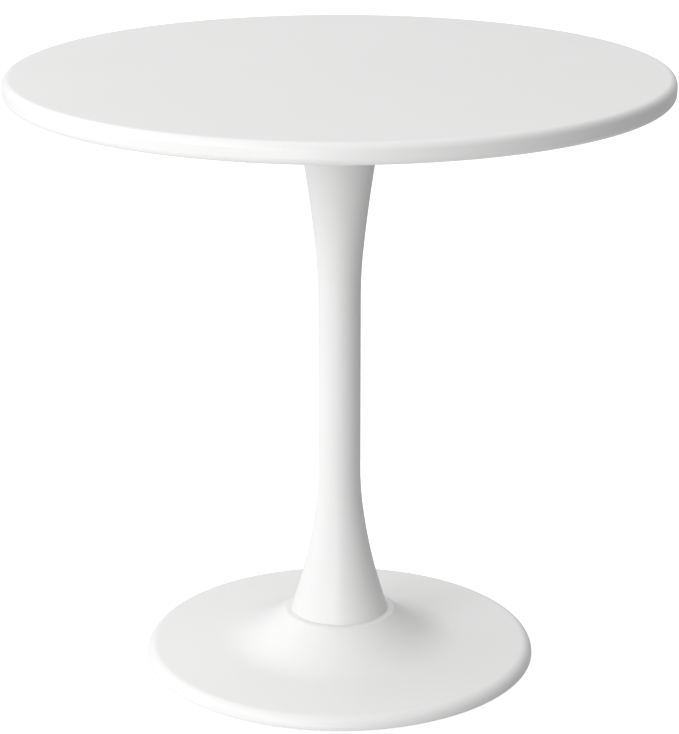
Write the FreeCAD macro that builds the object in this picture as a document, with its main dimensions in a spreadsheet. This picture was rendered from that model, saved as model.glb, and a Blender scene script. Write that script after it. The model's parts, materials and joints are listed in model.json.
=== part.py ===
# Round pedestal table: a lacquered top on a spun steel trumpet column, clamped by one tie rod
# to a weighted, spun steel foot that stands on four screw-in levelling glides.
# Origin on the floor, on the column's axis, +Z up. All sizes in millimetres.

import FreeCAD, Part

import os
import re

import Sketcher

SIZES = (
    # whole table
    ("table_height", 750.0),
    ("top_radius", 400.0),
    ("top_thickness", 25.0),
    ("top_upper_rounding", 9.0),
    ("top_lower_rounding", 8.0),
    # threaded inserts, screws and washers that hold the top on its plate
    ("insert_radius", 5.0),
    ("insert_length", 13.0),
    ("insert_bore_radius", 3.05),
    ("insert_pocket_spare", 1.0),
    ("screw_circle_radius", 115.0),
    ("screw_count", 8.0),
    ("screw_radius", 2.95),
    ("screw_length", 16.0),
    ("screw_head_radius", 5.25),
    ("screw_head_height", 3.3),
    ("screw_socket_across", 4.0),
    ("screw_socket_depth", 2.0),
    ("screw_hole_clearance", 0.35),
    ("screw_washer_radius", 6.0),
    ("screw_washer_thickness", 1.2),
    # steel plate under the top, with the ring that centres the column
    ("plate_radius", 130.0),
    ("plate_thickness", 4.0),
    ("ring_wall", 3.0),
    ("ring_height", 10.0),
    ("ring_clearance", 0.4),
    # trumpet column
    ("waist_radius", 26.3),
    ("column_wall", 1.5),
    ("head_radius", 58.4),
    ("head_flare_length", 252.0),
    ("head_bend_length", 60.0),
    ("head_bend_radius", 600.0),
    ("foot_radius", 61.3),
    ("foot_flare_length", 188.0),
    ("foot_bend_length", 48.0),
    ("foot_bend_radius", 400.0),
    ("foot_disc_thickness", 3.0),
    ("foot_disc_clearance", 0.4),
    # spun foot shell
    ("base_radius", 245.0),
    ("base_wall", 2.0),
    ("base_floor_gap", 3.0),
    ("base_rim_height", 18.2),
    ("base_rim_rounding", 13.4),
    ("base_flare_start_radius", 150.0),
    ("base_flare_start_height", 21.3),
    ("base_flare_middle_radius", 100.0),
    ("base_flare_middle_height", 37.0),
    ("hub_shoulder_radius", 68.5),
    ("hub_shoulder_rounding", 4.5),
    ("hub_height", 60.0),
    # hub cup and ballast plate inside the foot
    ("cup_radius", 30.0),
    ("cup_wall", 3.0),
    ("cup_flange_radius", 45.0),
    ("ballast_thickness", 6.0),
    ("ballast_top_height", 14.5),
    ("ballast_edge_gap", 1.6),
    ("ballast_hole_radius", 24.0),
    # tie rod with its nuts and washers
    ("rod_radius", 5.95),
    ("rod_hole_radius", 6.5),
    ("rod_top_gap", 1.0),
    ("rod_bottom_stick_out", 8.0),
    ("nut_across", 18.0),
    ("nut_bore_radius", 6.0),
    ("nut_height", 10.0),
    ("rod_washer_radius", 12.0),
    ("rod_washer_thickness", 2.5),
    ("spring_washer_radius", 10.4),
    ("spring_washer_thickness", 2.5),
    ("spring_washer_slit", 1.6),
    # levelling glides
    ("glide_circle_radius", 185.0),
    ("glide_first_angle", 45.0),
    ("glide_insert_radius", 8.0),
    ("glide_flange_radius", 11.5),
    ("glide_flange_thickness", 1.0),
    ("glide_stem_radius", 4.97),
    ("glide_thread_clearance", 0.06),
    ("glide_stem_spare", 2.0),
    ("glide_hex_across", 17.0),
    ("glide_hex_height", 3.0),
    ("glide_hex_gap", 0.3),
    ("glide_pad_radius", 17.0),
    ("glide_pad_height", 3.0),
    ("glide_boss_radius", 10.0),
    ("glide_boss_height", 4.0),
    ("glide_floor_thickness", 1.4),
    ("glide_button_radius", 4.6),
    ("glide_button_height", 1.1),
    ("glide_neck_radius", 3.4),
    ("glide_swivel_clearance", 0.08),
    ("glide_edge_chamfer", 0.6),
)

GLIDE_COUNT = 4
ALIASES = {name for name, size in SIZES}

# heights that several pieces share, as expressions on the cells above
TOP_UNDERSIDE = "(table_height - top_thickness)"
PLATE_UNDERSIDE = "(table_height - top_thickness - plate_thickness)"
WASHER_UNDERSIDE = "(table_height - top_thickness - plate_thickness - screw_washer_thickness)"
CUP_TOP = "(hub_height - base_wall)"
CUP_CEILING = "(hub_height - base_wall - cup_wall)"
SPRING_WASHER_TOP = "(hub_height - base_wall - cup_wall - rod_washer_thickness)"
NUT_TOP = "(%s - spring_washer_thickness)" % SPRING_WASHER_TOP
BALLAST_UNDERSIDE = "(ballast_top_height - ballast_thickness)"
GLIDE_FLANGE_UNDERSIDE = "(ballast_top_height - ballast_thickness - glide_flange_thickness)"
GLIDE_HEX_TOP = "(%s - glide_hex_gap)" % GLIDE_FLANGE_UNDERSIDE

# the steepest that each flare can be at its open end: twice its mean slope
HEAD_SLOPE = "(2 * (head_radius - waist_radius) / head_flare_length)"
FOOT_SLOPE = "(2 * (foot_radius - waist_radius) / foot_flare_length)"

doc = FreeCAD.newDocument("pedestal_table")
sheet = doc.addObject("Spreadsheet::Sheet", "sizes")
pieces = []


def fill_sheet():
    for row, (alias, size) in enumerate(SIZES, start=1):
        sheet.set("A%d" % row, alias)
        sheet.set("B%d" % row, str(size))
        sheet.setAlias("B%d" % row, alias)
    doc.recompute()


def bound(text):
    """An expression in plain size names, with each name pointed at its cell."""
    return re.sub(r"[a-z_]+", lambda word: point_at_cell(word.group()), text)


def point_at_cell(word):
    return "sizes." + word if word in ALIASES else word


def value(text):
    return float(sheet.evalExpression(bound(text)))


def new_body(label):
    body = doc.addObject("PartDesign::Body", label)
    body.Label = label
    body.AllowCompound = True
    pieces.append(body)
    return body


def origin_part(body, role):
    return next(part for part in body.Origin.OriginFeatures if part.Role == role)


def new_sketch(body, name, plane="XY_Plane", height="0"):
    sketch = body.newObject("Sketcher::SketchObject", body.Label + "_" + name)
    sketch.AttachmentSupport = [(origin_part(body, plane), "")]
    sketch.MapMode = "FlatFace"
    sketch.setExpression("AttachmentOffset.Base.z", bound(height))
    return sketch


def constrain(sketch, text, kind, *places):
    """Add a dimension whose size is an expression on the sheet."""
    number = sketch.addConstraint(Sketcher.Constraint(kind, *places, value(text)))
    sketch.setExpression("Constraints[%d]" % number, bound(text))


def place_point(sketch, edge, end, across, up):
    """Hold one point of an edge at its own distances from the sketch's origin."""
    for kind, text in (("DistanceX", across), ("DistanceY", up)):
        if value(text) == 0.0:
            axis = -2 if kind == "DistanceX" else -1
            sketch.addConstraint(Sketcher.Constraint("PointOnObject", edge, end, axis))
        else:
            constrain(sketch, text, kind, -1, 1, edge, end)


def add_circle(sketch, radius, across="0"):
    centre = FreeCAD.Vector(value(across), 0, 0)
    circle = Part.Circle(centre, FreeCAD.Vector(0, 0, 1), value(radius))
    edge = sketch.addGeometry(circle, False)
    constrain(sketch, radius, "Radius", edge)
    place_point(sketch, edge, 3, across, "0")


def point(corner):
    return FreeCAD.Vector(value(corner[0]), value(corner[1]), 0)


def arc_between(start, end, centre):
    """The shorter arc from start to end about a centre, and its point numbers there."""
    radius = (start - centre).Length
    leftward = (start - centre).cross(end - centre).z > 0
    first, last = (start, end) if leftward else (end, start)
    circle = Part.Circle(centre, FreeCAD.Vector(0, 0, 1), radius)
    arc = Part.ArcOfCircle(circle, circle.parameter(first), circle.parameter(last))
    return arc, (1, 2) if leftward else (2, 1)


def centre_from_radius(start, end, radius):
    """Centre of an arc of that radius: left of the chord if positive, right if negative."""
    chord = end - start
    left = FreeCAD.Vector(-chord.y, chord.x, 0).normalize()
    rise = (radius ** 2 - (chord.Length / 2) ** 2) ** 0.5
    return (start + end) * 0.5 + left * (rise if radius > 0 else -rise)


def centre_from_tangent(fixed, other, far, far_centre):
    """Centre of an arc from the fixed point to the other one, which starts in line with the
    neighbouring edge from far to fixed: a straight edge, or an arc about far_centre."""
    if far_centre is None:
        along = fixed - far
        normal = FreeCAD.Vector(-along.y, along.x, 0).normalize()
    else:
        normal = (far_centre - fixed).normalize()
    chord = other - fixed
    return fixed + normal * (chord.Length ** 2 / (2 * chord.dot(normal)))


def arc_centres(points, edges):
    """Centres of an outline's arcs, by the number of the point that each arc starts from."""
    count = len(points)
    centres = {}
    for number, edge in enumerate(edges):
        if edge[0] == "arc":
            follow = points[(number + 1) % count]
            centres[number] = centre_from_radius(points[number], follow, value(edge[1]))
    for number, edge in enumerate(edges):
        before, after, beyond = (number - 1) % count, (number + 1) % count, (number + 2) % count
        here, there = points[number], points[after]
        if edge == "tangent before":
            centres[number] = centre_from_tangent(here, there, points[before], centres.get(before))
        if edge == "tangent after":
            centres[number] = centre_from_tangent(there, here, points[beyond], centres.get(after))
    return centres


def add_edge(sketch, start, end, centre):
    """Add a straight edge, or an arc about a centre: its number, first point and last point."""
    if centre is None:
        return sketch.addGeometry(Part.LineSegment(start, end), False), 1, 2
    arc, ends = arc_between(start, end, centre)
    return (sketch.addGeometry(arc, False),) + ends


def draw_outline(sketch, corners):
    """A closed outline. Each corner is (across, up, edge), and its edge leads to the next corner:
    "line"; ("arc", radius), with a minus sign for a centre to the right of the way there; or
    "tangent before" or "tangent after", an arc tangent to the edge on that side."""
    points = [FreeCAD.Vector(value(across), value(up), 0) for across, up, edge in corners]
    kinds = [edge for across, up, edge in corners]
    centres = arc_centres(points, kinds)
    ring = points[1:] + points[:1]
    edges = [add_edge(sketch, start, end, centres.get(number))
             for number, (start, end) in enumerate(zip(points, ring))]
    for number, (edge, first, last) in enumerate(edges):
        after = (number + 1) % len(edges)
        next_edge, next_first, next_last = edges[after]
        tangent = kinds[number] == "tangent after" or kinds[after] == "tangent before"
        meeting = "Tangent" if tangent else "Coincident"
        sketch.addConstraint(Sketcher.Constraint(meeting, edge, last, next_edge, next_first))
        place_point(sketch, edge, first, corners[number][0], corners[number][1])
        if kinds[number][0] == "arc":
            constrain(sketch, "abs(%s)" % kinds[number][1], "Radius", edge)


def turn(body, name, corners):
    """Revolve a half section about the body's Z axis: corners are (radius, height, edge)."""
    sketch = new_sketch(body, name + "_section", "XZ_Plane")
    draw_outline(sketch, corners)
    turned = body.newObject("PartDesign::Revolution", body.Label + "_" + name)
    turned.Profile = sketch
    turned.ReferenceAxis = (origin_part(body, "Z_Axis"), [""])
    turned.Angle = 360
    doc.recompute()
    return turned


def straight(*corners):
    """Corners of an outline with straight edges only."""
    return [corner + ("line",) for corner in corners]


def pad_rings(body, name, radii, bottom, height, across="0"):
    """Pad one disc, or a ring when two radii are given, centred at a distance along X."""
    sketch = new_sketch(body, name + "_rings", height=bottom)
    for radius in radii:
        add_circle(sketch, radius, across)
    pad = body.newObject("PartDesign::Pad", body.Label + "_" + name)
    pad.Profile = sketch
    pad.setExpression("Length", bound(height))
    doc.recompute()
    return pad


def pocket_circle(body, name, radius, bottom, depth, across="0"):
    """Cut a round hole upwards from a level, and check that it took metal away."""
    before = body.Shape.Volume
    sketch = new_sketch(body, name + "_circle", height=bottom)
    add_circle(sketch, radius, across)
    pocket = body.newObject("PartDesign::Pocket", body.Label + "_" + name)
    pocket.Profile = sketch
    pocket.Reversed = True
    pocket.setExpression("Length", bound(depth))
    doc.recompute()
    if body.Shape.Volume >= before:
        raise RuntimeError("%s cuts nothing" % pocket.Label)
    return pocket


def pattern_round(body, features, count, first_angle="0"):
    """Repeat features round the Z axis."""
    pattern = body.newObject("PartDesign::PolarPattern", body.Label + "_pattern")
    pattern.Originals = features
    pattern.Axis = (origin_part(body, "Z_Axis"), [""])
    pattern.Angle = 360
    pattern.setExpression("Occurrences", bound(count))
    body.Tip = pattern
    doc.recompute()
    if value(first_angle) != 0.0:
        body.setExpression("Placement.Rotation.Angle", bound(first_angle))
        doc.recompute()


def prism(body, kind, across, bottom, height, offset="0"):
    """A hexagonal prism, added or cut, by its width across flats."""
    added = body.newObject("PartDesign::" + kind, body.Label + "_" + kind)
    added.AttachmentSupport = [(origin_part(body, "XY_Plane"), "")]
    added.MapMode = "FlatFace"
    added.Polygon = 6
    added.setExpression("Circumradius", bound("(%s) / 2 / cos(30)" % across))
    added.setExpression("Height", bound(height))
    added.setExpression("AttachmentOffset.Base.z", bound(bottom))
    added.setExpression("AttachmentOffset.Base.x", bound(offset))
    doc.recompute()
    return added


def circular_edge(feature, radius, height):
    """Name of the feature's full circle of that radius at that height."""
    for number, edge in enumerate(feature.Shape.Edges, start=1):
        round_edge = isinstance(edge.Curve, Part.Circle) and edge.isClosed()
        if round_edge and abs(edge.Curve.Radius - value(radius)) < 0.001:
            if abs(edge.Curve.Center.z - value(height)) < 0.001:
                return "Edge%d" % number
    raise RuntimeError("%s has no such edge" % feature.Label)


def flat_faces(feature, heights):
    """Names of the feature's level faces at those heights."""
    names = []
    for number, face in enumerate(feature.Shape.Faces, start=1):
        level = isinstance(face.Surface, Part.Plane)
        if level and any(abs(face.CenterOfMass.z - value(height)) < 0.001 for height in heights):
            names.append("Face%d" % number)
    return names


def hollow_out(body, feature, heights, wall):
    """Leave a wall inside the feature, open at its level faces at those heights."""
    shell = body.newObject("PartDesign::Thickness", body.Label + "_wall")
    shell.Base = (feature, flat_faces(feature, heights))
    shell.Reversed = True
    shell.Mode = "Skin"
    shell.Join = "Arc"
    shell.setExpression("Value", bound(wall))
    doc.recompute()
    return shell


def make_table_top():
    body = new_body("table_top")
    upper, lower = "top_upper_rounding", "top_lower_rounding"
    turn(body, "disc", [
        ("0", TOP_UNDERSIDE, "line"),
        ("top_radius - " + lower, TOP_UNDERSIDE, ("arc", lower)),
        ("top_radius", TOP_UNDERSIDE + " + " + lower, "line"),
        ("top_radius", "table_height - " + upper, ("arc", upper)),
        ("top_radius - " + upper, "table_height", "line"),
        ("0", "table_height", "line"),
    ])
    depth = "insert_length + insert_pocket_spare"
    pocket = pocket_circle(body, "insert_pocket", "insert_radius", TOP_UNDERSIDE, depth,
                           "screw_circle_radius")
    pattern_round(body, [pocket], "screw_count")


def make_top_inserts():
    body = new_body("top_inserts")
    radii = ("insert_radius", "insert_bore_radius")
    sleeve = pad_rings(body, "sleeve", radii, TOP_UNDERSIDE, "insert_length", "screw_circle_radius")
    pattern_round(body, [sleeve], "screw_count")


def make_top_plate():
    body = new_body("top_plate")
    radii = ("plate_radius", "rod_hole_radius")
    pad_rings(body, "disc", radii, PLATE_UNDERSIDE, "plate_thickness")
    hole = pocket_circle(body, "screw_hole", "screw_radius + screw_hole_clearance",
                         PLATE_UNDERSIDE, "plate_thickness", "screw_circle_radius")
    pattern_round(body, [hole], "screw_count")


def make_top_plate_washers():
    body = new_body("top_plate_washers")
    radii = ("screw_washer_radius", "screw_radius + screw_hole_clearance")
    washer = pad_rings(body, "disc", radii, WASHER_UNDERSIDE, "screw_washer_thickness",
                       "screw_circle_radius")
    pattern_round(body, [washer], "screw_count")


def make_top_plate_screws():
    body = new_body("top_plate_screws")
    circle = "screw_circle_radius"
    head_bottom = WASHER_UNDERSIDE + " - screw_head_height"
    head = pad_rings(body, "head", ["screw_head_radius"], head_bottom, "screw_head_height", circle)
    shank = pad_rings(body, "shank", ["screw_radius"], WASHER_UNDERSIDE, "screw_length", circle)
    socket = prism(body, "SubtractivePrism", "screw_socket_across", head_bottom,
                   "screw_socket_depth", circle)
    pattern_round(body, [head, shank, socket], "screw_count")


def make_column_locating_ring():
    body = new_body("column_locating_ring")
    outer = "head_radius - column_wall - ring_height * %s - ring_clearance" % HEAD_SLOPE
    radii = (outer, outer + " - ring_wall")
    pad_rings(body, "ring", radii, PLATE_UNDERSIDE + " - ring_height", "ring_height")


def make_column_shell():
    body = new_body("column_shell")
    bend_step = "waist_radius + %s_radius - sqrt(%s_radius ^ 2 - %s_length ^ 2)"
    foot_bend = bend_step % (("foot_bend",) * 3)
    head_bend = bend_step % (("head_bend",) * 3)
    waist_bottom = "hub_height + foot_flare_length"
    waist_top = PLATE_UNDERSIDE + " - head_flare_length"
    solid = turn(body, "trumpet", [
        ("0", "hub_height", "line"),
        ("foot_radius", "hub_height", "tangent after"),
        (foot_bend, waist_bottom + " - foot_bend_length", ("arc", "-foot_bend_radius")),
        ("waist_radius", waist_bottom, "line"),
        ("waist_radius", waist_top, ("arc", "-head_bend_radius")),
        (head_bend, waist_top + " + head_bend_length", "tangent before"),
        ("head_radius", PLATE_UNDERSIDE, "line"),
        ("0", PLATE_UNDERSIDE, "line"),
    ])
    hollow_out(body, solid, ["hub_height", PLATE_UNDERSIDE], "column_wall")


def make_column_foot_disc():
    body = new_body("column_foot_disc")
    lean = "foot_disc_thickness * %s" % FOOT_SLOPE
    outer = "foot_radius - column_wall - %s - foot_disc_clearance" % lean
    pad_rings(body, "disc", (outer, "rod_hole_radius"), "hub_height", "foot_disc_thickness")


def make_base_shell():
    body = new_body("base_shell")
    rounding = "base_rim_rounding"
    solid = turn(body, "dish", [
        ("0", "base_floor_gap", "line"),
        ("base_radius", "base_floor_gap", "line"),
        ("base_radius", "base_rim_height - " + rounding, ("arc", rounding)),
        ("base_radius - " + rounding, "base_rim_height", "line"),
        ("base_flare_start_radius", "base_flare_start_height", "tangent before"),
        ("base_flare_middle_radius", "base_flare_middle_height", "tangent before"),
        ("hub_shoulder_radius", "hub_height", "line"),
        ("0", "hub_height", "line"),
    ])
    shoulder = body.newObject("PartDesign::Fillet", "base_shell_shoulder")
    shoulder.Base = (solid, [circular_edge(solid, "hub_shoulder_radius", "hub_height")])
    shoulder.setExpression("Radius", bound("hub_shoulder_rounding"))
    doc.recompute()
    hollow_out(body, shoulder, ["base_floor_gap"], "base_wall")
    pocket_circle(body, "rod_hole", "rod_hole_radius", CUP_TOP, "base_wall")


def make_hub_cup():
    body = new_body("hub_cup")
    turn(body, "hat", straight(
        ("rod_hole_radius", CUP_CEILING),
        ("cup_radius - cup_wall", CUP_CEILING),
        ("cup_radius - cup_wall", "ballast_top_height"),
        ("cup_flange_radius", "ballast_top_height"),
        ("cup_flange_radius", "ballast_top_height + cup_wall"),
        ("cup_radius", "ballast_top_height + cup_wall"),
        ("cup_radius", CUP_TOP),
        ("rod_hole_radius", CUP_TOP),
    ))


def make_ballast_plate():
    body = new_body("ballast_plate")
    outer = "base_radius - base_rim_rounding - base_wall - ballast_edge_gap"
    radii = (outer, "ballast_hole_radius")
    pad_rings(body, "disc", radii, BALLAST_UNDERSIDE, "ballast_thickness")
    hole = pocket_circle(body, "glide_hole", "glide_insert_radius", BALLAST_UNDERSIDE,
                         "ballast_thickness", "glide_circle_radius")
    pattern_round(body, [hole], str(GLIDE_COUNT), "glide_first_angle")


def make_glide_inserts():
    body = new_body("glide_inserts")
    bore = "glide_stem_radius + glide_thread_clearance"
    circle = "glide_circle_radius"
    flange = pad_rings(body, "flange", ("glide_flange_radius", bore), GLIDE_FLANGE_UNDERSIDE,
                       "glide_flange_thickness", circle)
    sleeve = pad_rings(body, "sleeve", ("glide_insert_radius", bore), BALLAST_UNDERSIDE,
                       "ballast_thickness", circle)
    pattern_round(body, [flange, sleeve], str(GLIDE_COUNT), "glide_first_angle")


def make_tie_rod():
    body = new_body("tie_rod")
    bottom = NUT_TOP + " - nut_height - rod_bottom_stick_out"
    top = TOP_UNDERSIDE + " - rod_top_gap"
    pad_rings(body, "bar", ["rod_radius"], bottom, "%s - (%s)" % (top, bottom))


def make_nut(label, top):
    body = new_body(label)
    bottom = "%s - nut_height" % top
    prism(body, "AdditivePrism", "nut_across", bottom, "nut_height")
    pocket_circle(body, "bore", "nut_bore_radius", bottom, "nut_height")


def make_rod_washer():
    body = new_body("rod_washer")
    radii = ("rod_washer_radius", "rod_hole_radius")
    pad_rings(body, "disc", radii, SPRING_WASHER_TOP, "rod_washer_thickness")


def make_rod_spring_washer():
    body = new_body("rod_spring_washer")
    radii = ("spring_washer_radius", "rod_hole_radius")
    pad_rings(body, "coil", radii, NUT_TOP, "spring_washer_thickness")
    before = body.Shape.Volume
    slit = body.newObject("PartDesign::SubtractiveBox", "rod_spring_washer_slit")
    slit.AttachmentSupport = [(origin_part(body, "XY_Plane"), "")]
    slit.MapMode = "FlatFace"
    slit.setExpression("Length", bound("spring_washer_radius"))
    slit.setExpression("Width", bound("spring_washer_slit"))
    slit.setExpression("Height", bound("spring_washer_thickness"))
    slit.setExpression("AttachmentOffset.Base.y", bound("-spring_washer_slit / 2"))
    slit.setExpression("AttachmentOffset.Base.z", bound(NUT_TOP))
    doc.recompute()
    if body.Shape.Volume >= before:
        raise RuntimeError("the spring washer has no slit")


def put_on_glide_circle(body, number):
    """Stand a glide piece, made about its own axis, at its place under the foot."""
    angle = "(glide_first_angle + %d)" % (number * 360 // GLIDE_COUNT)
    body.setExpression("Placement.Base.x", bound("glide_circle_radius * cos(%s)" % angle))
    body.setExpression("Placement.Base.y", bound("glide_circle_radius * sin(%s)" % angle))


def make_glide_foot(number):
    body = new_body("glide_%d_foot" % (number + 1))
    socket = "glide_button_radius + glide_swivel_clearance"
    throat = "glide_neck_radius + glide_swivel_clearance"
    ceiling = "glide_floor_thickness + glide_button_height + 2 * glide_swivel_clearance"
    turn(body, "pad", straight(
        ("0", "0"),
        ("glide_pad_radius - glide_edge_chamfer", "0"),
        ("glide_pad_radius", "glide_edge_chamfer"),
        ("glide_pad_radius", "glide_pad_height - glide_edge_chamfer"),
        ("glide_pad_radius - glide_edge_chamfer", "glide_pad_height"),
        ("glide_boss_radius", "glide_pad_height"),
        ("glide_boss_radius", "glide_boss_height"),
        (throat, "glide_boss_height"),
        (throat, ceiling),
        (socket, ceiling),
        (socket, "glide_floor_thickness"),
        ("0", "glide_floor_thickness"),
    ))
    put_on_glide_circle(body, number)


def make_glide_stem(number):
    body = new_body("glide_%d_stem" % (number + 1))
    button_bottom = "glide_floor_thickness + glide_swivel_clearance"
    button_top = button_bottom + " + glide_button_height"
    hex_bottom = GLIDE_HEX_TOP + " - glide_hex_height"
    tip = "ballast_top_height + glide_stem_spare"
    turn(body, "shank", straight(
        ("0", button_bottom),
        ("glide_button_radius", button_bottom),
        ("glide_button_radius", button_top),
        ("glide_neck_radius", button_top),
        ("glide_neck_radius", hex_bottom),
        ("glide_stem_radius", hex_bottom),
        ("glide_stem_radius", tip + " - glide_edge_chamfer"),
        ("glide_stem_radius - glide_edge_chamfer", tip),
        ("0", tip),
    ))
    prism(body, "AdditivePrism", "glide_hex_across", hex_bottom, "glide_hex_height")
    put_on_glide_circle(body, number)


def make_everything():
    make_table_top()
    make_top_inserts()
    make_top_plate()
    make_top_plate_washers()
    make_top_plate_screws()
    make_column_locating_ring()
    make_column_shell()
    make_column_foot_disc()
    make_base_shell()
    make_hub_cup()
    make_ballast_plate()
    make_tie_rod()
    make_nut("rod_top_nut", PLATE_UNDERSIDE)
    make_nut("rod_nut", NUT_TOP)
    make_rod_washer()
    make_rod_spring_washer()
    make_glide_inserts()
    for number in range(GLIDE_COUNT):
        make_glide_foot(number)
        make_glide_stem(number)
    doc.recompute()


def check_everything():
    for item in doc.Objects:
        if "Invalid" in item.State or "Error" in item.State:
            raise RuntimeError("%s failed: %s" % (item.Label, item.State))
    for body in pieces:
        if body.Shape.isNull() or not body.Shape.isValid():
            raise RuntimeError("%s has no valid shape" % body.Label)


def write_everything():
    os.makedirs("parts", exist_ok=True)
    for body in pieces:
        body.Shape.exportStep("parts/%s.step" % body.Label)
        box = body.Shape.optimalBoundingBox()
        print("%-22s %d solid(s) %10.1f mm3  z %.2f to %.2f" % (
            body.Label, len(body.Shape.Solids), body.Shape.Volume, box.ZMin, box.ZMax))


fill_sheet()
make_everything()
check_everything()
write_everything()
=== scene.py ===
import json
import math

import bmesh
import bpy
import numpy as np
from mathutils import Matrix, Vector


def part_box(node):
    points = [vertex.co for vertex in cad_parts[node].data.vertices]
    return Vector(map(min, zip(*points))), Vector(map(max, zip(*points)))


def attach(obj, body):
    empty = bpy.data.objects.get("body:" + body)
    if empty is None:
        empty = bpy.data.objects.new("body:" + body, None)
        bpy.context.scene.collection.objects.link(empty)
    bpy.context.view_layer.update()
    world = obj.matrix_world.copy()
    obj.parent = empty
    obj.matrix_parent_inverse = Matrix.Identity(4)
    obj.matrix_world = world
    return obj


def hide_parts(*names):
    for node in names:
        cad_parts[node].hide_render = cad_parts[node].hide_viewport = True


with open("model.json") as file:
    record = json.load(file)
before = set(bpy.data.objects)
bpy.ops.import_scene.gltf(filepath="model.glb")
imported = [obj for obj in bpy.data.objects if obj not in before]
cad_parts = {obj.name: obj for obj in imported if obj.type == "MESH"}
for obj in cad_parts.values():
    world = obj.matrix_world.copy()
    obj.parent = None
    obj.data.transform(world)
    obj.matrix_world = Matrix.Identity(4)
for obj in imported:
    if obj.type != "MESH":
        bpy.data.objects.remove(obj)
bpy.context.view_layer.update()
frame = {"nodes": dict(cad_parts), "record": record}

mm = 0.001
made = []  # the new pieces, each with the slot that it takes its finish from


# a profile is a run of (radius, height) points in metres

def arcBetween(start, end, centre, steps):
    # points swept about a centre from start to end by the shorter way:
    # centre + (first * sin((1 - share) * turn) + last * sin(share * turn)) / sin(turn)
    first, last = start - centre, end - centre
    turn = math.acos(np.clip(first @ last / np.linalg.norm(first) / np.linalg.norm(last), -1, 1))
    share = np.linspace(0, 1, steps + 1)[:, None]
    return centre + (first * np.sin((1 - share) * turn) + last * np.sin(share * turn)) / math.sin(turn)


def tangentCentre(fixed, other, normal):
    # centre of the arc through both points whose radius at the fixed one runs along the normal
    chord = other - fixed
    return fixed + normal * (chord @ chord) / (2 * chord @ normal)


def unit(vector):
    return vector / np.linalg.norm(vector)


def stretch(start, end, step, support):
    # points along a straight run, with one close to each end to keep the shading flat
    length = np.linalg.norm(end - start)
    marks = list(np.linspace(0, length, max(1, math.ceil(length / step)) + 1))
    if length > 6 * support:
        marks += [support, length - support]
    return start + unit(end - start) * np.sort(marks)[:, None]


def roundedProfile(corners, closed=True, step=12 * mm, arcSteps=8, support=0.4 * mm):
    # a run of straight stretches whose corners, (radius, height, rounding), are rounded by arcs
    places = [np.array(corner[:2], float) for corner in corners]
    arcs = []
    for number, (here, corner) in enumerate(zip(places, corners)):
        isEnd = not closed and number in (0, len(places) - 1)
        if isEnd or corner[2] == 0:
            arcs.append(here[None])
            continue
        back = unit(places[number - 1] - here)
        onward = unit(places[(number + 1) % len(places)] - here)
        half = math.acos(np.clip(back @ onward, -1, 1)) / 2
        centre = here + unit(back + onward) * corner[2] / math.sin(half)
        reach = corner[2] / math.tan(half)
        arcs.append(arcBetween(here + back * reach, here + onward * reach, centre, arcSteps))
    pieces = []
    for number, arc in enumerate(arcs):
        pieces.append(arc)
        if closed or number < len(arcs) - 1:
            follow = arcs[(number + 1) % len(arcs)]
            pieces.append(stretch(arc[-1], follow[0], step, support)[1:-1])
    return np.concatenate(pieces)


def insetProfile(points, wall):
    # the same outline moved sideways by a wall, towards its left
    along = np.gradient(points, axis=0)
    along /= np.linalg.norm(along, axis=1)[:, None]
    return points + wall * np.stack([-along[:, 1], along[:, 0]], axis=1)


# a surface is a grid of rows along the profile and columns round the axis

def roundColumns(count):
    # the angle of each column, number * 2 pi / count
    return np.arange(count) * 2 * math.pi / count


def turned(profile, count):
    # every row at its own radius, the same all the way round
    return np.repeat(profile[:, :1], count, axis=1), np.repeat(profile[:, 1:], count, axis=1)


def makePiece(name, grids, body, slot, replaced, closed=False, sharpAngle=32):
    # each grid is (radius, height, x, y), with its points at
    # (x + radius * cos(angle), y + radius * sin(angle), height)
    points, faces = [], []
    for radius, height, x, y in grids:
        rows, columns = radius.shape
        angle = roundColumns(columns)[None]
        grid = np.stack([x + radius * np.cos(angle), y + radius * np.sin(angle), height], axis=2)
        numbers = np.arange(rows * columns).reshape(rows, columns) + sum(len(p) for p in points)
        lower = numbers if closed else numbers[:-1]
        upper = np.roll(numbers, -1, axis=0) if closed else numbers[1:]
        corners = [lower, np.roll(lower, -1, axis=1), np.roll(upper, -1, axis=1), upper]
        points.append(grid.reshape(-1, 3))
        faces.append(np.stack(corners, axis=2).reshape(-1, 4))
    mesh = bpy.data.meshes.new(name)
    mesh.from_pydata(np.concatenate(points).tolist(), [], np.concatenate(faces).tolist())
    finishMesh(mesh, sharpAngle)
    return addPiece(name, mesh, body, slot, replaced)


def addPiece(name, mesh, body, slot, replaced):
    piece = bpy.data.objects.new(name, mesh)
    bpy.context.scene.collection.objects.link(piece)
    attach(piece, body)
    for node in replaced:
        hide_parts(node)
    made.append((piece, slot))
    return piece


def finishMesh(mesh, sharpAngle):
    # close the poles, turn all faces outwards, and shade smoothly between real edges
    work = bmesh.new()
    work.from_mesh(mesh)
    bmesh.ops.remove_doubles(work, verts=work.verts, dist=1e-6)
    bmesh.ops.recalc_face_normals(work, faces=work.faces)
    work.to_mesh(mesh)
    work.free()
    mesh.shade_smooth()
    mesh.set_sharp_from_angle(angle=math.radians(sharpAngle))


def hexRadius(across, count):
    # distance from the axis to the side of a hexagon: half the width across its flats
    # over the cosine of the angle from the nearest flat's middle
    angle = roundColumns(count)
    return across / 2 / np.cos((angle + math.pi / 6) % (math.pi / 3) - math.pi / 6)


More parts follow.
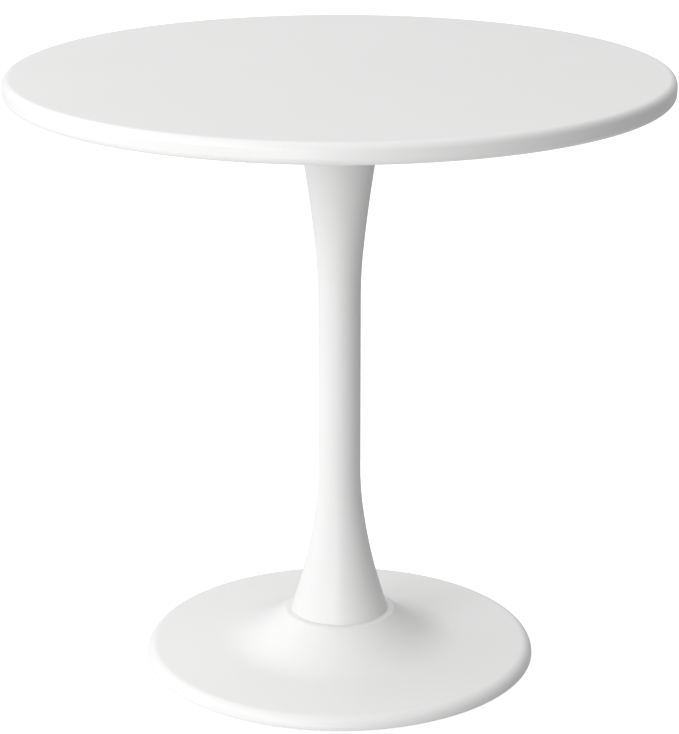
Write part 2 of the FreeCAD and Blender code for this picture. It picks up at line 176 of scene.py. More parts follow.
def threadRadius(heights, count, radius, depth, pitch, runOut):
    # a right-hand helix: the depth follows the fraction of (height / pitch - angle / 2 pi),
    # flat at the crest and the root, and fades out at both ends
    phase = (heights[:, None] / pitch - roundColumns(count)[None] / (2 * math.pi)) % 1
    flank = np.clip(np.abs(phase - 0.5) * 2.6 - 0.15, 0, 1)
    fade = np.clip(np.minimum(heights - heights[0], heights[-1] - heights) / runOut, 0, 1)
    return radius - depth * flank * fade[:, None]


def threadGrid(low, high, count, radius, depth, pitch, rowsPerTurn=7):
    # a thread from low to high, with the same number of rows in every turn
    rows = max(3, int((high - low) / pitch * rowsPerTurn))
    heights = np.linspace(low, high, rows)
    radii = threadRadius(heights, count, radius, depth, pitch, pitch)
    return radii, np.repeat(heights[:, None], count, axis=1)


def plainRows(rows, count):
    # rows given as (radius, height), where a radius may also be one value for each column
    radius = np.stack([np.broadcast_to(row[0], count) for row in rows])
    height = np.stack([np.broadcast_to(row[1], count) for row in rows])
    return radius, height


def stacked(*grids):
    # grids one after another, as one surface
    return np.concatenate([g[0] for g in grids]), np.concatenate([g[1] for g in grids])


def around(grid, count, circle, firstAngle=0):
    # copies of one grid, each about its own axis on a circle
    angles = firstAngle + np.arange(count) * 2 * math.pi / count
    return [grid + (circle * math.cos(angle), circle * math.sin(angle)) for angle in angles]


def hexBlock(low, high, across, chamfer, count):
    # a hexagon whose corners are turned off by a cone at both ends
    corner = across / 2 / math.cos(math.pi / 6)
    levels = [0, 0.35 * chamfer, 0.7 * chamfer, chamfer]
    rows = [(low + level, corner - (chamfer - level) * 1.9) for level in levels]
    rows += [(high - level, corner - (chamfer - level) * 1.9) for level in levels[::-1]]
    return [(np.minimum(hexRadius(across, count), cone), height) for height, cone in rows]


topBoard = {  # the round board with its rounded edges
    "upperRounding": 9 * mm,
    "lowerRounding": 8 * mm,
    "columns": 384,
    "pocketRadius": 5 * mm,
    "pocketDepth": 14 * mm,
    "pocketCircle": 115 * mm,
    "pocketCount": 8,
}


def makeTopBoard():
    low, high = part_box("table_top")
    radius = high[0]
    profile = roundedProfile([
        (0, low[2], 0),
        (radius, low[2], topBoard["lowerRounding"]),
        (radius, high[2], topBoard["upperRounding"]),
        (0, high[2], 0),
    ], closed=False, step=25 * mm, arcSteps=14)
    board = makePiece("tableTop", [turned(profile, topBoard["columns"]) + (0, 0)],
                      "root", "white_lacquer", ["table_top"])
    cutHoles(board, topBoard["pocketCircle"], topBoard["pocketCount"], topBoard["pocketRadius"],
             low[2] - 5 * mm, low[2] + topBoard["pocketDepth"])


def cutHoles(board, circle, count, radius, low, high, firstAngle=0):
    # round holes on a circle, cut once and kept in the mesh
    rows = [(0, low), (radius, low), (radius, high), (0, high)]
    cutter = makePiece("holeCutter", around(plainRows(rows, 32), count, circle, firstAngle), "root",
                       "white_lacquer", [])
    cut = board.modifiers.new("holes", "BOOLEAN")
    cut.object = cutter
    cut.solver = "EXACT"
    bpy.context.view_layer.update()
    result = board.evaluated_get(bpy.context.evaluated_depsgraph_get())
    board.data = bpy.data.meshes.new_from_object(result)
    board.modifiers.clear()
    board.data.set_sharp_from_angle(angle=math.radians(32))
    made.pop()
    bpy.data.objects.remove(cutter)


column = {  # the slim column, flared like a trumpet at both ends
    "waistRadius": 26.3 * mm,
    "wall": 1.5 * mm,
    "headBend": (60 * mm, 600 * mm),
    "headFlare": 252 * mm,
    "headRadius": 58.4 * mm,
    "footBend": (48 * mm, 400 * mm),
    "footFlare": 188 * mm,
    "footRadius": 61.3 * mm,
    "lip": 0.55 * mm,
    "columns": 224,
}


def flareProfile(start, end, bend, waist):
    # from the waist outwards: a gentle bend, then one longer arc in line with it to the open end
    length, radius = bend
    way = 1 if end[1] > start[1] else -1
    knee = np.array([waist + radius - math.sqrt(radius ** 2 - length ** 2), start[1] + way * length])
    first = np.array([waist + radius, start[1]])
    gentle = arcBetween(start, knee, first, 10)
    centre = tangentCentre(knee, end, unit(first - knee))
    return np.concatenate([gentle, arcBetween(knee, end, centre, 26)[1:]])


def makeColumn():
    low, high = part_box("column_shell")
    waist = column["waistRadius"]
    foot = flareProfile(np.array([waist, low[2] + column["footFlare"]]),
                        np.array([column["footRadius"], low[2]]), column["footBend"], waist)
    head = flareProfile(np.array([waist, high[2] - column["headFlare"]]),
                        np.array([column["headRadius"], high[2]]), column["headBend"], waist)
    outer = np.concatenate([foot[::-1], stretch(foot[0], head[0], 24 * mm, mm)[1:-1], head])
    inner = insetProfile(outer, column["wall"])
    inner[[0, -1], 1] = outer[[0, -1], 1]
    lip = column["lip"]
    corners = [(r, z, lip if number in (0, len(outer) - 1) else 0)
               for ring in (outer, inner[::-1]) for number, (r, z) in enumerate(ring)]
    profile = roundedProfile(corners, step=24 * mm, arcSteps=4, support=0.2 * mm)
    return makePiece("trumpetColumn", [turned(profile, column["columns"]) + (0, 0)],
                     "root", "white_powder_coat", ["column_shell"], closed=True)


foot = {  # the dished disc that rises to the hub
    "wall": 2 * mm,
    "rimHeight": 18.2 * mm,
    "rimRounding": 13.4 * mm,
    "flareStart": (150 * mm, 21.3 * mm),
    "flareMiddle": (100 * mm, 37 * mm),
    "shoulderRadius": 68.5 * mm,
    "shoulderRounding": 4.5 * mm,
    "holeRadius": 6.5 * mm,
    "hemWidth": 7 * mm,
    "hemHeight": 1.6 * mm,
    "columns": 288,
}


def footOutline(low, high):
    # from the hub's hole outwards and down to the rim
    rounding, rim = foot["shoulderRounding"], foot["rimRounding"]
    rimTop = np.array([high[0] - rim, foot["rimHeight"]])
    start, middle = np.array(foot["flareStart"]), np.array(foot["flareMiddle"])
    slope = unit(start - rimTop)
    lowCentre = tangentCentre(start, middle, np.array([slope[1], -slope[0]]))
    shoulder = np.array([foot["shoulderRadius"], high[2]])
    centre = tangentCentre(middle, shoulder, unit(lowCentre - middle))
    radius = np.linalg.norm(middle - centre)
    drop = centre[1] - (high[2] - rounding)
    corner = np.array([centre[0] - math.sqrt((radius + rounding) ** 2 - drop ** 2), high[2] - rounding])
    meeting = centre + (corner - centre) * radius / (radius + rounding)
    land = np.array([corner[0], high[2]])
    return np.concatenate([
        stretch(np.array([foot["holeRadius"], high[2]]), land, 8 * mm, 0.4 * mm),
        arcBetween(land, meeting, corner, 8)[1:],
        arcBetween(meeting, middle, centre, 14)[1:],
        arcBetween(middle, start, lowCentre, 24)[1:],
        stretch(start, rimTop, 12 * mm, mm)[1:],
        arcBetween(rimTop, np.array([high[0], foot["rimHeight"] - rim]),
                   np.array([high[0] - rim, foot["rimHeight"] - rim]), 18)[1:],
    ])


def makeFoot():
    low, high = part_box("base_shell")
    outer = footOutline(low, high)
    inner = insetProfile(outer, -foot["wall"])
    inner[0] = [foot["holeRadius"], high[2] - foot["wall"]]
    inset = high[0] - foot["hemWidth"]
    hemTop = low[2] + foot["hemHeight"]
    hem = [(high[0], low[2], 0.8 * mm), (inset, low[2], 0.3 * mm), (inset, hemTop, 0.3 * mm),
           (high[0] - foot["wall"], hemTop, 0)]
    corners = [(r, z, 0) for r, z in outer[:-1]] + hem + [(r, z, 0) for r, z in inner[-2::-1]]
    profile = roundedProfile(corners, step=14 * mm, arcSteps=5, support=0.2 * mm)
    return makePiece("spunFoot", [turned(profile, foot["columns"]) + (0, 0)],
                     "root", "white_powder_coat", ["base_shell"], closed=True)


thread = {  # pitches and depths of every thread
    "rodPitch": 1.75 * mm,
    "rodDepth": 1.07 * mm,
    "rodThreaded": 70 * mm,
    "glidePitch": 1.5 * mm,
    "glideDepth": 0.9 * mm,
    "screwPitch": 1.0 * mm,
    "screwDepth": 0.6 * mm,
    "insertPitch": 2.5 * mm,
    "insertDepth": 0.9 * mm,
    "looseness": 0.05 * mm,
}

clamp = {  # tie rod, nuts, washers and the pressed cup inside the foot
    "rodRadius": 5.95 * mm,
    "rodChamfer": 0.8 * mm,
    "nutAcross": 18 * mm,
    "nutChamfer": 1.3 * mm,
    "washerHole": 6.5 * mm,
    "washerChamfer": 0.3 * mm,
    "slit": 1.6 * mm,
    "cupWall": 3 * mm,
    "cupBend": 4.5 * mm,
    "cupRadius": 30 * mm,
    "columns": 60,
}


def boxSize(node):
    low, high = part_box(node)
    return low[2], high[2], (high[0] - low[0]) / 2, (low[0] + high[0]) / 2, (low[1] + high[1]) / 2


def makeTieRod():
    low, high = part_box("tie_rod")
    count, radius, chamfer = clamp["columns"], clamp["rodRadius"], clamp["rodChamfer"]
    threaded, pitch, depth = thread["rodThreaded"], thread["rodPitch"], thread["rodDepth"]
    grid = stacked(
        plainRows([(0, low[2]), (radius - depth, low[2])], count),
        threadGrid(low[2] + chamfer, low[2] + threaded, count, radius, depth, pitch),
        plainRows([(radius, z) for z in np.linspace(low[2] + threaded, high[2] - threaded, 12)[1:-1]], count),
        threadGrid(high[2] - threaded, high[2] - chamfer, count, radius, depth, pitch),
        plainRows([(radius - depth, high[2]), (0, high[2])], count),
    )
    makePiece("tieRod", [grid + (0, 0)], "root", "zinc_plated_steel", ["tie_rod"])


def makeNut(name, node):
    bottom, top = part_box(node)[0][2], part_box(node)[1][2]
    count = clamp["columns"]
    outer = hexBlock(bottom, top, clamp["nutAcross"], clamp["nutChamfer"], count)
    heights = np.linspace(top, bottom, 42)
    bore = threadRadius(heights, count, clamp["rodRadius"], thread["rodDepth"], thread["rodPitch"], 1e-9)
    bore[[0, -1]] = clamp["rodRadius"]
    grid = stacked(plainRows([(row[0], row[1]) for row in outer], count),
                   (bore + thread["looseness"], np.repeat(heights[:, None], count, axis=1)))
    makePiece(name, [grid + (0, 0)], "root", "zinc_plated_steel", [node], closed=True)


def ringProfile(bottom, top, outer, inner, rounding):
    return roundedProfile([(outer, bottom, rounding), (outer, top, rounding),
                           (inner, top, rounding), (inner, bottom, rounding)],
                          arcSteps=3, support=0.1 * mm)


def makeSpringWasher():
    # a square wire wound once round, its two cut ends standing apart
    bottom, top, radius, x, y = boxSize("rod_spring_washer")
    gap = clamp["slit"] / radius
    ring = ringProfile(bottom, top, radius, clamp["washerHole"], clamp["washerChamfer"])
    angle = np.linspace(gap / 2, 2 * math.pi - gap / 2, clamp["columns"])
    grid = np.stack([ring[:, :1] * np.cos(angle), ring[:, :1] * np.sin(angle),
                     np.broadcast_to(ring[:, 1:], (len(ring), len(angle)))], axis=2)
    rows, columns = grid.shape[:2]
    numbers = np.arange(rows * columns).reshape(rows, columns)
    below, above = numbers, np.roll(numbers, -1, axis=0)
    sides = np.stack([below[:, :-1], below[:, 1:], above[:, 1:], above[:, :-1]], axis=2).reshape(-1, 4)
    mesh = bpy.data.meshes.new("rodSpringWasher")
    mesh.from_pydata(grid.reshape(-1, 3).tolist(), [],
                     sides.tolist() + [numbers[:, 0].tolist(), numbers[:, -1].tolist()])
    finishMesh(mesh, 32)
    addPiece("rodSpringWasher", mesh, "root", "zinc_plated_steel", ["rod_spring_washer"])


def makeHubCup():
    bottom, top, flange, x, y = boxSize("hub_cup")
    wall, bend, radius = clamp["cupWall"], clamp["cupBend"], clamp["cupRadius"]
    profile = roundedProfile([
        (clamp["washerHole"], top - wall, 0.3 * mm),
        (radius - wall, top - wall, bend - wall),
        (radius - wall, bottom, bend),
        (flange, bottom, 0.6 * mm),
        (flange, bottom + wall, 0.6 * mm),
        (radius, bottom + wall, bend - wall),
        (radius, top, bend),
        (clamp["washerHole"], top, 0.3 * mm),
    ])
    makePiece("hubCup", [turned(profile, 96) + (x, y)], "root", "black_primer", ["hub_cup"], closed=True)


plates = {  # plates and rings of black coated steel
    "edge": 0.6 * mm,
    "rodHole": 6.5 * mm,
    "screwHole": 3.3 * mm,
    "ringWall": 3 * mm,
    "ballastHole": 24 * mm,
}


def makeRing(name, node, inner, columns=128, slot="black_primer", edge=plates["edge"]):
    # a flat ring the height of its node, with its edges rounded over
    bottom, top, radius, x, y = boxSize(node)
    ring = ringProfile(bottom, top, radius, inner, edge)
    return makePiece(name, [turned(ring, columns) + (x, y)], "root", slot, [node], closed=True)


def makePlates():
    low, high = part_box("top_plate")
    plate = makeRing("topPlate", "top_plate", plates["rodHole"], 192)
    cutHoles(plate, screw["circle"], screw["count"], plates["screwHole"], low[2] - 5 * mm, high[2] + 5 * mm)
    low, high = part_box("column_locating_ring")
    makeRing("columnLocatingRing", "column_locating_ring", high[0] - plates["ringWall"])
    makeRing("columnFootDisc", "column_foot_disc", plates["rodHole"])
    low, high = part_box("ballast_plate")
    ballast = makeRing("ballastPlate", "ballast_plate", plates["ballastHole"], 256)
    cutHoles(ballast, glide["circle"], glide["count"], glide["sleeveRadius"], low[2] - 5 * mm,
             high[2] + 5 * mm, math.radians(glide["firstAngle"]))


screw = {  # the screws, washers and inserts under the board
    "count": 8,
    "circle": 115 * mm,
    "headRadius": 5.25 * mm,
    "headHeight": 3.3 * mm,
    "headDome": 1.4 * mm,
    "socketAcross": 4 * mm,
    "socketDepth": 2 * mm,
    "shankRadius": 2.95 * mm,
    "washerRadius": 6 * mm,
    "washerHole": 3.3 * mm,
    "insertRadius": 5 * mm,
    "columns": 36,
}


def makeTopScrews():
    low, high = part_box("top_plate_screws")
    count, head, dome = screw["columns"], screw["headRadius"], screw["headDome"]
    bottom, top = low[2], low[2] + screw["headHeight"]
    hexagon, mouth = hexRadius(screw["socketAcross"], count), bottom + 0.2 * mm
    bend = np.linspace(0, math.pi / 2, 6)
    domeRows = [(head - dome * (1 - math.sin(a)), bottom + dome * (1 - math.cos(a))) for a in bend]
    grid = stacked(
        plainRows([(0, bottom + screw["socketDepth"] + 0.6 * mm), (hexagon, bottom + screw["socketDepth"]),
                   (hexagon, mouth), (hexagon + 0.25 * mm, bottom)] + domeRows
                  + [(head, top - 0.1 * mm), (head - 0.1 * mm, top), (screw["shankRadius"], top)], count),
        threadGrid(top + 0.1 * mm, high[2] - 0.6 * mm, count, screw["shankRadius"], thread["screwDepth"],
                   thread["screwPitch"], 5),
        plainRows([(screw["shankRadius"] - thread["screwDepth"], high[2]), (0, high[2])], count),
    )
    makePiece("topPlateScrews", around(grid, screw["count"], screw["circle"]), "root",
              "zinc_plated_steel", ["top_plate_screws"])


def makeTopInserts():
    # threaded sleeves with a coarse thread outside, which bites into the board
    low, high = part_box("top_inserts")
    count, outer = screw["columns"], screw["insertRadius"]
    heights = np.linspace(low[2], high[2], 44)
    outside = threadRadius(heights, count, outer, thread["insertDepth"], thread["insertPitch"], mm)
    inside = threadRadius(heights[::-1], count, screw["shankRadius"], thread["screwDepth"],
                          thread["screwPitch"], mm)
    level = np.repeat(heights[:, None], count, axis=1)
    grid = stacked((outside - thread["looseness"], level), (inside + 2 * thread["looseness"], level[::-1]))
    makePiece("topInserts", around(grid, screw["count"], screw["circle"]), "root",
              "zinc_plated_steel", ["top_inserts"], closed=True)


def makeTopWashers():
    low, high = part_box("top_plate_washers")
    ring = ringProfile(low[2], high[2], screw["washerRadius"], screw["washerHole"], 0.2 * mm)
    makePiece("topPlateWashers", around(turned(ring, 40), screw["count"], screw["circle"]), "root",
              "zinc_plated_steel", ["top_plate_washers"], closed=True)


glide = {  # the levelling glides under the foot
    "count": 4,
    "firstAngle": 45,
    "circle": 185 * mm,
    "stemRadius": 4.97 * mm,
    "hexAcross": 17 * mm,
    "hexHeight": 3 * mm,
    "hexChamfer": 0.7 * mm,
    "neckRadius": 3.4 * mm,
    "buttonRadius": 4.6 * mm,
    "buttonHeight": 1.1 * mm,
    "hexBottom": 4.2 * mm,
    "sleeveRadius": 8 * mm,
    "flangeRadius": 11.5 * mm,
    "flangeHeight": 1 * mm,
    "padHeight": 3 * mm,
    "bossRadius": 10 * mm,
    "socketFloor": 1.4 * mm,
    "swivelGap": 0.08 * mm,
    "columns": 60,
}


def makeGlideStem(number):
    node = "glide_%d_stem" % number
    bottom, top, half, x, y = boxSize(node)
    count, radius, button = glide["columns"], glide["stemRadius"], glide["buttonRadius"]
    hexTop = glide["hexBottom"] + glide["hexHeight"]
    bevel = 0.2 * mm
    grid = stacked(
        plainRows([(0, bottom), (button - bevel, bottom), (button, bottom + bevel),
                   (button, bottom + glide["buttonHeight"] - bevel),
                   (button - bevel, bottom + glide["buttonHeight"]),
                   (glide["neckRadius"], bottom + glide["buttonHeight"]),
                   (glide["neckRadius"], glide["hexBottom"])]
                  + hexBlock(glide["hexBottom"], hexTop, glide["hexAcross"], glide["hexChamfer"], count)
                  + [(radius - thread["glideDepth"], hexTop)], count),
        threadGrid(hexTop, top - 0.6 * mm, count, radius, thread["glideDepth"], thread["glidePitch"]),
        plainRows([(radius - thread["glideDepth"], top), (0, top)], count),
    )
    makePiece("glideStem%d" % number, [grid + (x, y)], node, "zinc_plated_steel", [node])


def makeGlideFoot(number):
    node = "glide_%d_foot" % number
    bottom, top, pad, x, y = boxSize(node)
    socket = glide["buttonRadius"] + glide["swivelGap"]
    throat = glide["neckRadius"] + glide["swivelGap"]
    ceiling = glide["socketFloor"] + glide["buttonHeight"] + 2 * glide["swivelGap"]
    profile = roundedProfile([
        (0, bottom, 0),
        (pad * 0.55, bottom, 0.1 * mm),
        (pad * 0.58, bottom + 0.25 * mm, 0.1 * mm),
        (pad * 0.62, bottom + 0.25 * mm, 0.1 * mm),
        (pad * 0.65, bottom, 0.1 * mm),
        (pad, bottom, 0.9 * mm),
        (pad, glide["padHeight"], 0.9 * mm),
        (glide["bossRadius"], glide["padHeight"], 0.4 * mm),
        (glide["bossRadius"], top, 0.4 * mm),
        (throat, top, 0.2 * mm),
        (throat, ceiling, 0),
        (socket, ceiling, 0),
        (socket, glide["socketFloor"], 0),
        (0, glide["socketFloor"], 0),
    ], closed=False, step=4 * mm, arcSteps=5, support=0.15 * mm)
    makePiece("glideFoot%d" % number, [turned(profile, 72) + (x, y)], node, "white_nylon", [node])


def makeGlideInserts():
    low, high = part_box("glide_inserts")
    count = glide["columns"]
    flange = glide["flangeRadius"]
    flangeTop = low[2] + glide["flangeHeight"]
    heights = np.linspace(high[2], low[2], 36)
    bore = threadRadius(heights, count, glide["stemRadius"], thread["glideDepth"], thread["glidePitch"], 1e-9)
    bore[[0, -1]] = glide["stemRadius"]
    outer = [(flange - 0.3 * mm, low[2]), (flange, low[2] + 0.3 * mm), (flange, flangeTop),
             (glide["sleeveRadius"], flangeTop), (glide["sleeveRadius"], high[2] - 0.3 * mm),
             (glide["sleeveRadius"] - 0.3 * mm, high[2])]
    grid = stacked(plainRows(outer, count),
                   (bore + thread["looseness"], np.repeat(heights[:, None], count, axis=1)))
    firstAngle = math.radians(glide["firstAngle"])
    makePiece("glideInserts", around(grid, glide["count"], glide["circle"], firstAngle), "root",
              "zinc_plated_steel", ["glide_inserts"], closed=True)


class Wire:
    # a socket in a tree; arithmetic on it adds Math nodes
    def __init__(self, graph, socket):
        self.graph = graph
        self.socket = socket

    def math(self, operation, first, second=0.0):
        return self.graph.node("ShaderNodeMath", {"operation": operation}, {0: first, 1: second})

    def __add__(self, other):
        return self.math("ADD", self, other)

    def __sub__(self, other):
        return self.math("SUBTRACT", self, other)

    def __mul__(self, other):
        return self.math("MULTIPLY", self, other)

    def __rsub__(self, other):
        return self.math("SUBTRACT", other, self)

    def __pow__(self, other):
        return self.math("POWER", self, other)

    __radd__ = __add__
    __rmul__ = __mul__


class Graph:
    # adds nodes to one tree: the kind, then its settings, then its inputs
    def __init__(self, tree):
        self.tree = tree

    def node(self, kind, settings, inputs, output=0):
        fresh = self.tree.nodes.new(kind)
        for key, setting in settings.items():
            setattr(fresh, key, setting)
        for key, given in inputs.items():
            self.feed(fresh.inputs[key], given)
        return Wire(self, fresh.outputs[output])

    def feed(self, socket, given):
        if isinstance(given, Wire):
            self.tree.links.new(given.socket, socket)
        else:
            socket.default_value = given


class Finish(Graph):
    # one material, with its constants set straight on the shader
    def __init__(self, name, **fixed):
        self.material = bpy.data.materials.new(name)
        self.material.use_nodes = True
        super().__init__(self.material.node_tree)
        self.shader = self.tree.nodes["Principled BSDF"]
        self.place = self.node("ShaderNodeTexCoord", {}, {}, "Object")
        for socket, given in fixed.items():
            self.shader.inputs[socket.replace("_", " ")].default_value = given

    def noise(self, scale, detail=2.0, roughness=0.5, stretch=(1, 1, 1)):
        place = self.place
        if stretch != (1, 1, 1):
            place = self.node("ShaderNodeMapping", {}, {"Vector": place, "Scale": stretch})
        return self.node("ShaderNodeTexNoise", {}, {
            "Vector": place, "Scale": scale, "Detail": detail, "Roughness": roughness})

    def step(self, wire, low, high):
        # 0 below low, 1 above high, and a straight ramp between them
        return self.node("ShaderNodeMapRange", {}, {"Value": wire, "From Min": low, "From Max": high})

    def blend(self, share, first, second):
        return self.node("ShaderNodeMix", {"data_type": "RGBA"}, {0: share, 6: first, 7: second}, 2)

    def axes(self):
        split = self.node("ShaderNodeSeparateXYZ", {}, {0: self.place})
        outputs = split.socket.node.outputs
        return [Wire(self, socket) for socket in outputs]

    def relief(self, height, distance):
        normal = self.node("ShaderNodeBump", {}, {"Strength": 1.0, "Distance": distance, "Height": height})
        self.feed(self.shader.inputs["Normal"], normal)


lacquer = {
    "white": (0.81, 0.81, 0.807, 1),
    "shaded": (0.785, 0.785, 0.778, 1),
    "cloudScale": 2.5,
    "peelScale": 330,
    "grainScale": 1500,
    "nibScale": 75,
    "nibStart": 0.79,
    "roughness": 0.37,
    "reliefHeight": 0.05 * mm,
}


def lacquerFinish():
    finish = Finish("whiteLacquer", Specular_IOR_Level=0.42)
    cloud = finish.noise(lacquer["cloudScale"], 3.0)
    finish.feed(finish.shader.inputs["Base Color"], finish.blend(cloud, lacquer["white"], lacquer["shaded"]))
    wipes = finish.noise(3.0, 4.0, 0.6, (1.5, 22, 1.5))  # faint cloth marks
    handled = finish.noise(9.0, 3.0)
    finish.feed(finish.shader.inputs["Roughness"],
                lacquer["roughness"] + (wipes - 0.5) * 0.10 + (handled - 0.5) * 0.08)
    nibStart = lacquer["nibStart"]
    nibs = finish.step(finish.noise(lacquer["nibScale"], 0.0), nibStart, nibStart + 0.06)  # dust specks
    peel = finish.noise(lacquer["peelScale"], 1.0)
    grain = finish.noise(lacquer["grainScale"], 2.0)
    finish.relief(peel * 0.5 + grain * 0.12 + nibs * 0.6, lacquer["reliefHeight"])
    return finish.material


powder = {
    "white": (0.84, 0.84, 0.837, 1),
    "shaded": (0.812, 0.812, 0.805, 1),
    # colour of the darker patches at the foot of the rim
    "rimFootDark": (0.68, 0.675, 0.66, 1),
    "peelScale": 420,
    "grainScale": 2100,
    "ringScale": 190,
    "roughness": 0.41,
    "reliefHeight": 0.06 * mm,
    # height at which those darker patches fade out
    "darkFadeTop": 15 * mm,
}


def powderFinish(name, ringStretch, darkenRimFoot):
    finish = Finish(name, Specular_IOR_Level=0.4)
    across, along, up = finish.axes()
    cloud = finish.noise(4.0, 3.0)
    colour = finish.blend(cloud, powder["white"], powder["shaded"])
    marks = finish.step(finish.noise(60.0, 4.0, 0.65, (1, 1, 4)), 0.60, 0.72)
    if darkenRimFoot:  # darker patches on the rim, full strength up to 2 mm above the floor and gone at 15 mm
        colour = finish.blend(marks * finish.step(up, powder["darkFadeTop"], 2 * mm) * 0.55, colour,
                              powder["rimFootDark"])
    finish.feed(finish.shader.inputs["Base Color"], colour)
    finish.feed(finish.shader.inputs["Roughness"],
                powder["roughness"] + (cloud - 0.5) * 0.09 + (finish.noise(26.0, 3.0) - 0.5) * 0.06)
    radius = (across * across + along * along) ** 0.5
    turnedPlace = finish.node("ShaderNodeCombineXYZ", {}, {
        0: radius * ringStretch[0], 2: up * ringStretch[1]})
    rings = finish.node("ShaderNodeTexNoise", {}, {  # traces of the spinning tool
        "Vector": turnedPlace, "Scale": powder["ringScale"], "Detail": 2.0})
    peel = finish.noise(powder["peelScale"], 1.0)
    grain = finish.noise(powder["grainScale"], 2.0)
    finish.relief(peel * 0.45 + grain * 0.2 + rings * 0.35, powder["reliefHeight"])
    return finish.material


primer = {
    "black": (0.022, 0.022, 0.024, 1),
    "dusty": (0.060, 0.058, 0.055, 1),
    "bare": (0.30, 0.29, 0.28, 1),
    "grainScale": 900,
    "reliefHeight": 0.09 * mm,
}


def primerFinish():
    finish = Finish("blackPrimer", Specular_IOR_Level=0.5)
    dust = finish.step(finish.noise(14.0, 5.0, 0.6), 0.42, 0.75)
    chips = finish.step(finish.noise(130.0, 4.0, 0.7), 0.735, 0.76)
    colour = finish.blend(dust, primer["black"], primer["dusty"])
    finish.feed(finish.shader.inputs["Base Color"], finish.blend(chips, colour, primer["bare"]))
    finish.feed(finish.shader.inputs["Metallic"], chips)
    finish.feed(finish.shader.inputs["Roughness"],
                0.5 + dust * 0.18 + (finish.noise(300.0, 2.0) - 0.5) * 0.12)
    finish.relief(finish.noise(primer["grainScale"], 3.0) - chips * 0.4, primer["reliefHeight"])
    return finish.material


zinc = {
    "bright": (0.70, 0.71, 0.73, 1),
    "bluish": (0.60, 0.65, 0.72, 1),
    "dull": (0.52, 0.51, 0.49, 1),
    "roughness": 0.30,
    "reliefHeight": 0.04 * mm,
}


def zincFinish():
    finish = Finish("zincPlate", Metallic=1.0)
    tint = finish.noise(45.0, 3.0)
    bloom = finish.step(finish.noise(160.0, 4.0, 0.65), 0.55, 0.75)
    colour = finish.blend(finish.step(tint, 0.35, 0.65), zinc["bright"], zinc["bluish"])
    finish.feed(finish.shader.inputs["Base Color"], finish.blend(bloom * 0.6, colour, zinc["dull"]))
    finish.feed(finish.shader.inputs["Roughness"], zinc["roughness"] + bloom * 0.22 + tint * 0.08)
    finish.relief(finish.noise(1200.0, 2.0), zinc["reliefHeight"])
    return finish.material


nylon = {
    "white": (0.74, 0.74, 0.71, 1),
    "worn": (0.45, 0.43, 0.40, 1),
    "roughness": 0.46,
    "reliefHeight": 0.05 * mm,
    "soleHeight": 0.8 * mm,
}


def nylonFinish():
    finish = Finish("whiteNylon", Specular_IOR_Level=0.4)
    across, along, up = finish.axes()
    scratches = finish.step(finish.noise(90.0, 5.0, 0.7, (1, 5, 1)), 0.5, 0.7)
    worn = scratches * finish.step(up, nylon["soleHeight"], 0.0)  # only the sole is rubbed
    finish.feed(finish.shader.inputs["Base Color"], finish.blend(worn, nylon["white"], nylon["worn"]))
    finish.feed(finish.shader.inputs["Roughness"], nylon["roughness"] + worn * 0.2
                + (finish.noise(60.0, 3.0) - 0.5) * 0.1)
    finish.relief(finish.noise(700.0, 3.0) + worn * 0.5, nylon["reliefHeight"])
    return finish.material


studio = {
    "floorColour": (0.95, 0.95, 0.95, 1),
    "floorGlow": 0.55,
    "floorHalf": 400,
}

sky = {
    "above": {"toward": (0, 0, 1), "strength": 0.98},
    "below": {"toward": (0, 0, -1), "strength": 0.74},
    "left": {"toward": (-1, 0, 0), "strength": 0.74},
    "behind": {"toward": (0, 1, 0), "strength": 0.38},
}

lamps = {
    "key": {"place": (-1.93, -2.30, 1.6), "aim": (0, 0, 0.3), "size": 0.7, "watts": 14.9},
    "accent": {"place": (-2.46, -1.72, 2.2), "aim": (0, 0, 0.3), "size": 0.4, "watts": 7.3},
    "fill": {"place": (-0.78, -2.90, 0.6), "aim": (0, 0, 0.6), "size": 1.2, "watts": 24.8},
    "back": {"place": (-0.9, 1.2, 2.0), "aim": (-0.1, 0, 0.4), "size": 1.2, "watts": 2.8},
}

camera = {
    "place": (0, -2.983, 1.324),
    "pitch": 17.57,
    "lens": 124.28,
    "sensor": 36,
}


def makeCamera():
    data = bpy.data.cameras.new("camera")
    data.lens = camera["lens"]
    data.sensor_width = camera["sensor"]
    viewer = bpy.data.objects.new("camera", data)
    viewer.location = camera["place"]
    viewer.rotation_euler = (math.radians(90 - camera["pitch"]), 0, 0)
    bpy.context.scene.collection.objects.link(viewer)
    bpy.context.scene.camera = viewer


def makeFloor():
    half = studio["floorHalf"]
    mesh = bpy.data.meshes.new("floor")
    corners = [(-half, -half, 0), (half, -half, 0), (half, half, 0), (-half, half, 0)]
    mesh.from_pydata(corners, [], [(0, 1, 2, 3)])
    floor = bpy.data.objects.new("floor", mesh)
    bpy.context.scene.collection.objects.link(floor)
    finish = Finish("floorWhite", Base_Color=studio["floorColour"], Roughness=0.6,
                    Emission_Color=(1, 1, 1, 1), Emission_Strength=studio["floorGlow"])
    mesh.materials.append(finish.material)
    # the sky alone lights the table from below, and the floor does not stand in its way
    floor.visible_diffuse = False
    floor.visible_glossy = False
    floor.visible_shadow = False


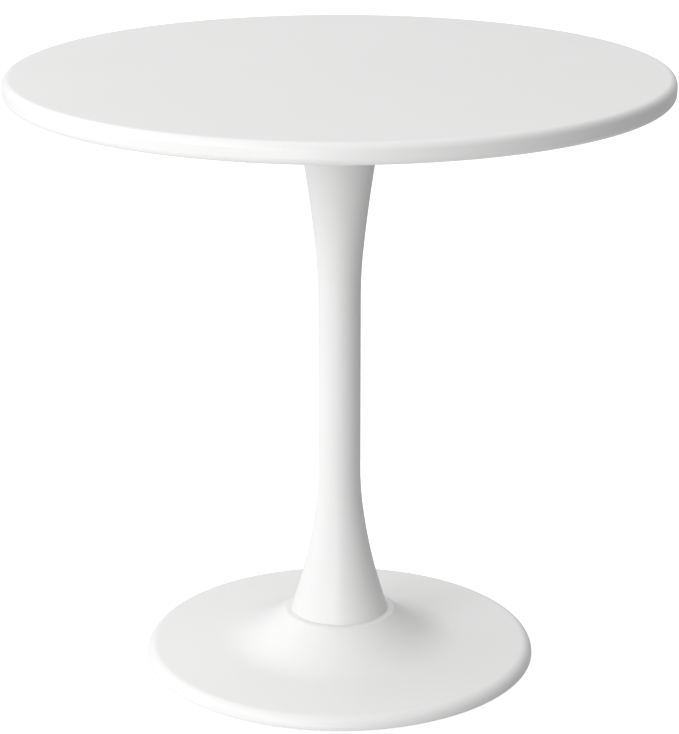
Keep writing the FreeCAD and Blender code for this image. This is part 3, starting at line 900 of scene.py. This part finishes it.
def makeLamps():
    for name, lamp in lamps.items():
        data = bpy.data.lights.new(name, "AREA")
        data.energy = lamp["watts"]
        data.size = lamp["size"]
        holder = bpy.data.objects.new(name, data)
        holder.location = lamp["place"]
        aim = Vector(lamp["aim"]) - holder.location
        holder.rotation_euler = aim.to_track_quat("-Z", "Y").to_euler()
        holder.visible_camera = False
        bpy.context.scene.collection.objects.link(holder)


def makeSky():
    # soft light from four sides, each fading as strength * max(0, cosine of the angle from its axis)
    world = bpy.data.worlds.new("studio")
    world.use_nodes = True
    bpy.context.scene.world = world
    graph = Graph(world.node_tree)
    direction = graph.node("ShaderNodeTexCoord", {}, {}, "Generated")
    light = 0.0
    for side in sky.values():
        facing = graph.node("ShaderNodeVectorMath", {"operation": "DOT_PRODUCT"},
                            {0: direction, 1: side["toward"]}, "Value")
        light = facing.math("MAXIMUM", facing, 0.0) * side["strength"] + light
    graph.feed(graph.tree.nodes["Background"].inputs["Color"], light)


makeTopBoard()
makeColumn()
makeFoot()
print("shells made")

makeTieRod()
makeNut("rodTopNut", "rod_top_nut")
makeNut("rodNut", "rod_nut")
makeRing("rodWasher", "rod_washer", clamp["washerHole"], 64, "zinc_plated_steel", clamp["washerChamfer"])
makeSpringWasher()
makeHubCup()
makePlates()
makeTopInserts()
makeTopScrews()
makeTopWashers()
makeGlideInserts()
for number in range(1, glide["count"] + 1):
    makeGlideStem(number)
    makeGlideFoot(number)
print("hardware made")

finishes = {
    "white_lacquer": lacquerFinish(),
    "columnCoat": powderFinish("columnCoat", (0.4, 1.0), False),
    "footCoat": powderFinish("footCoat", (1.0, 0.4), True),
    "black_primer": primerFinish(),
    "zinc_plated_steel": zincFinish(),
    "white_nylon": nylonFinish(),
}
ownFinish = {"trumpetColumn": "columnCoat", "spunFoot": "footCoat"}
slots = {part["node"]: part["material_slot"] for part in frame["record"]["subparts"]}
for node, piece in frame["nodes"].items():
    if slots[node] in finishes:
        for holder in piece.material_slots:
            holder.material = finishes[slots[node]]
for piece, slot in made:
    piece.data.materials.append(finishes[ownFinish.get(piece.name, slot)])
print("finishes made:", len(finishes))

bpy.context.scene.view_settings.view_transform = "Standard"
makeCamera()
makeFloor()
makeLamps()
makeSky()
print("studio made")
